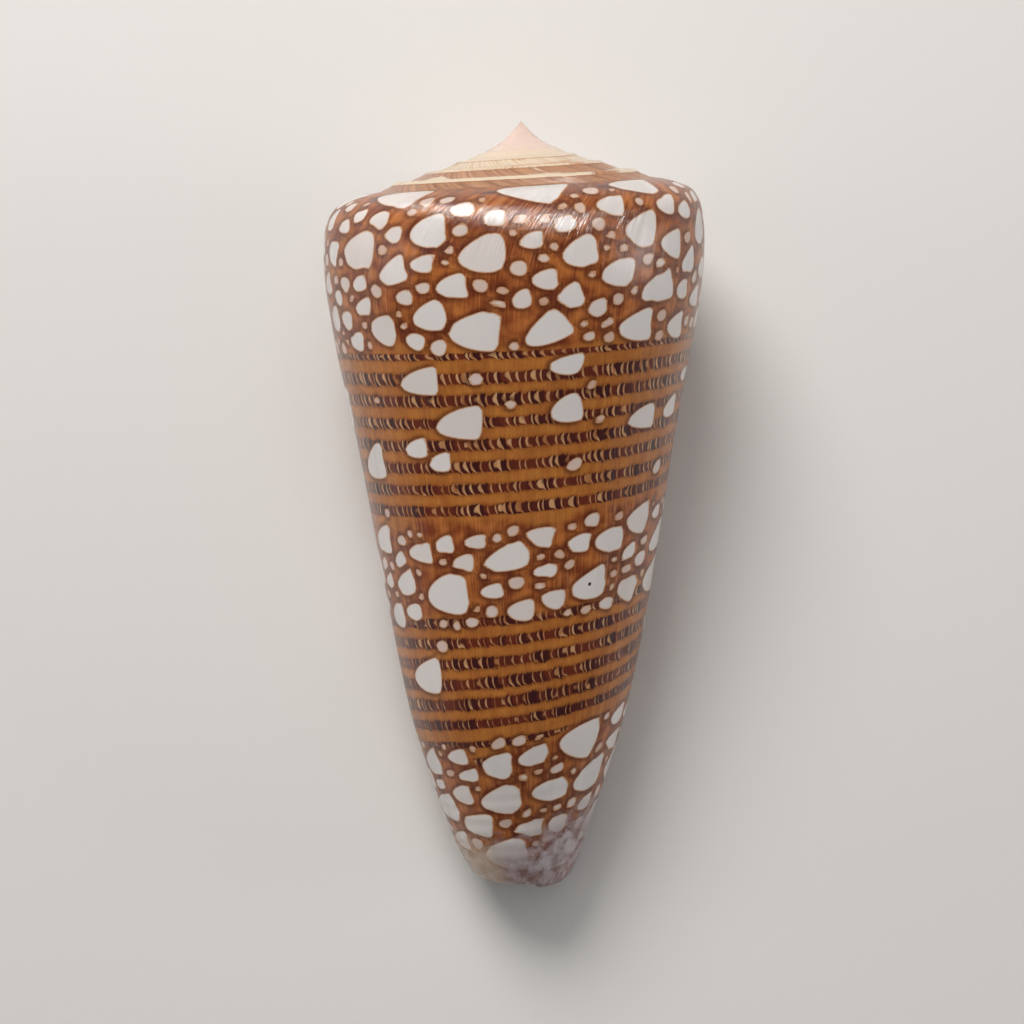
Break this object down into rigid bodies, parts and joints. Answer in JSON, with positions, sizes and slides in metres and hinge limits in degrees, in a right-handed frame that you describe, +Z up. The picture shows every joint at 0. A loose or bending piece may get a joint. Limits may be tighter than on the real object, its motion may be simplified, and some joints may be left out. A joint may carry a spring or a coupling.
{
  "type": "cone shell",
  "caption": "Empty right-handed cone snail shell with a low pointed spire, white tent marks and dashed ochre bands, lying on its narrow aperture.",
  "frame": {"origin": "on the surface that the shell lies on, under the middle of its bounding box", "axes": "+Y along the shell towards the spire, with the coiling axis pitched up 10 degrees towards it; +Z up, out of the middle of the shell's back; +X to the right seen from above, so the outer lip is on the -X side"},
  "size_m": [0.0292, 0.0594, 0.0278],
  "materials": {
    "patterned_shell": "glossy natural shell: orange-brown ground with white tents outlined in dark brown, ochre bands with dashed dark lines, a cream and pink spire, a greyish white base and a white aperture"
  },
  "bodies": {
    "root": {"shell": "patterned_shell"}
  },
  "joints": []
}
